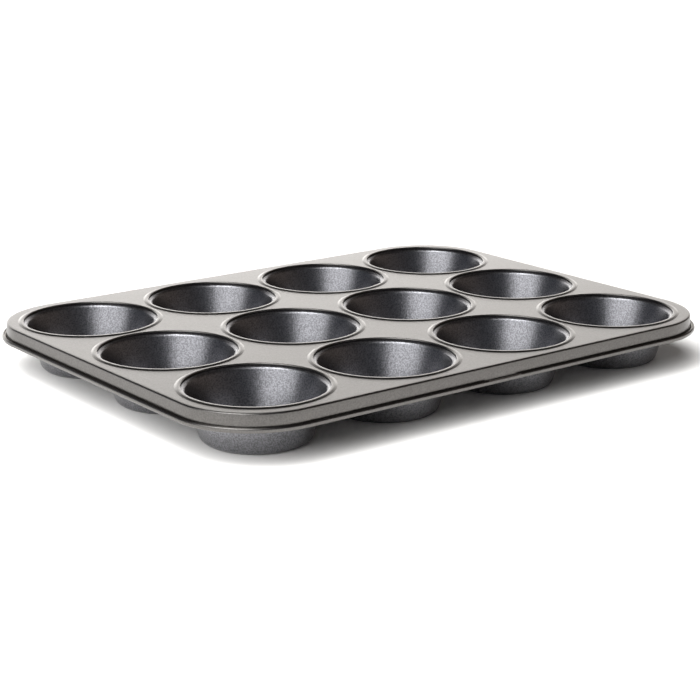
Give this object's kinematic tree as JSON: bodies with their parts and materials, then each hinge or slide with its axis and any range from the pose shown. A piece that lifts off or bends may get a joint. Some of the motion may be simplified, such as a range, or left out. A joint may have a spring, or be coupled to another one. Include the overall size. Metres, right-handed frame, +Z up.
{
  "type": "muffin tin",
  "caption": "Rectangular muffin tin: a flat sheet-steel frame with a rolled, wired edge carries a grid of round tapered cups, each folded into a raised ring.",
  "frame": {"origin": "middle of the tin, on the plane that the cups' bases stand on", "axes": "+X along the long side, which holds a row of four cups; +Y along the short side, which holds three, pointing away from the side with the two notches in its bead; +Z up, out of the cups' mouths"},
  "size_m": [0.35, 0.2666, 0.0291],
  "materials": {
    "coated_sheet": "satin grey non-stick coating on pressed steel sheet, fine speckle",
    "coated_cup": "satin grey non-stick coating on drawn steel, fine speckle",
    "wire_steel": "drawn mild steel wire, hidden in the bead"
  },
  "bodies": {
    "root": {"frame": "coated_sheet", "rim_wire": "wire_steel", "cup_a1": "coated_cup", "cup_a2": "coated_cup", "cup_a3": "coated_cup", "cup_a4": "coated_cup", "cup_b1": "coated_cup", "cup_b2": "coated_cup", "cup_b3": "coated_cup", "cup_b4": "coated_cup", "cup_c1": "coated_cup", "cup_c2": "coated_cup", "cup_c3": "coated_cup", "cup_c4": "coated_cup"}
  },
  "joints": []
}
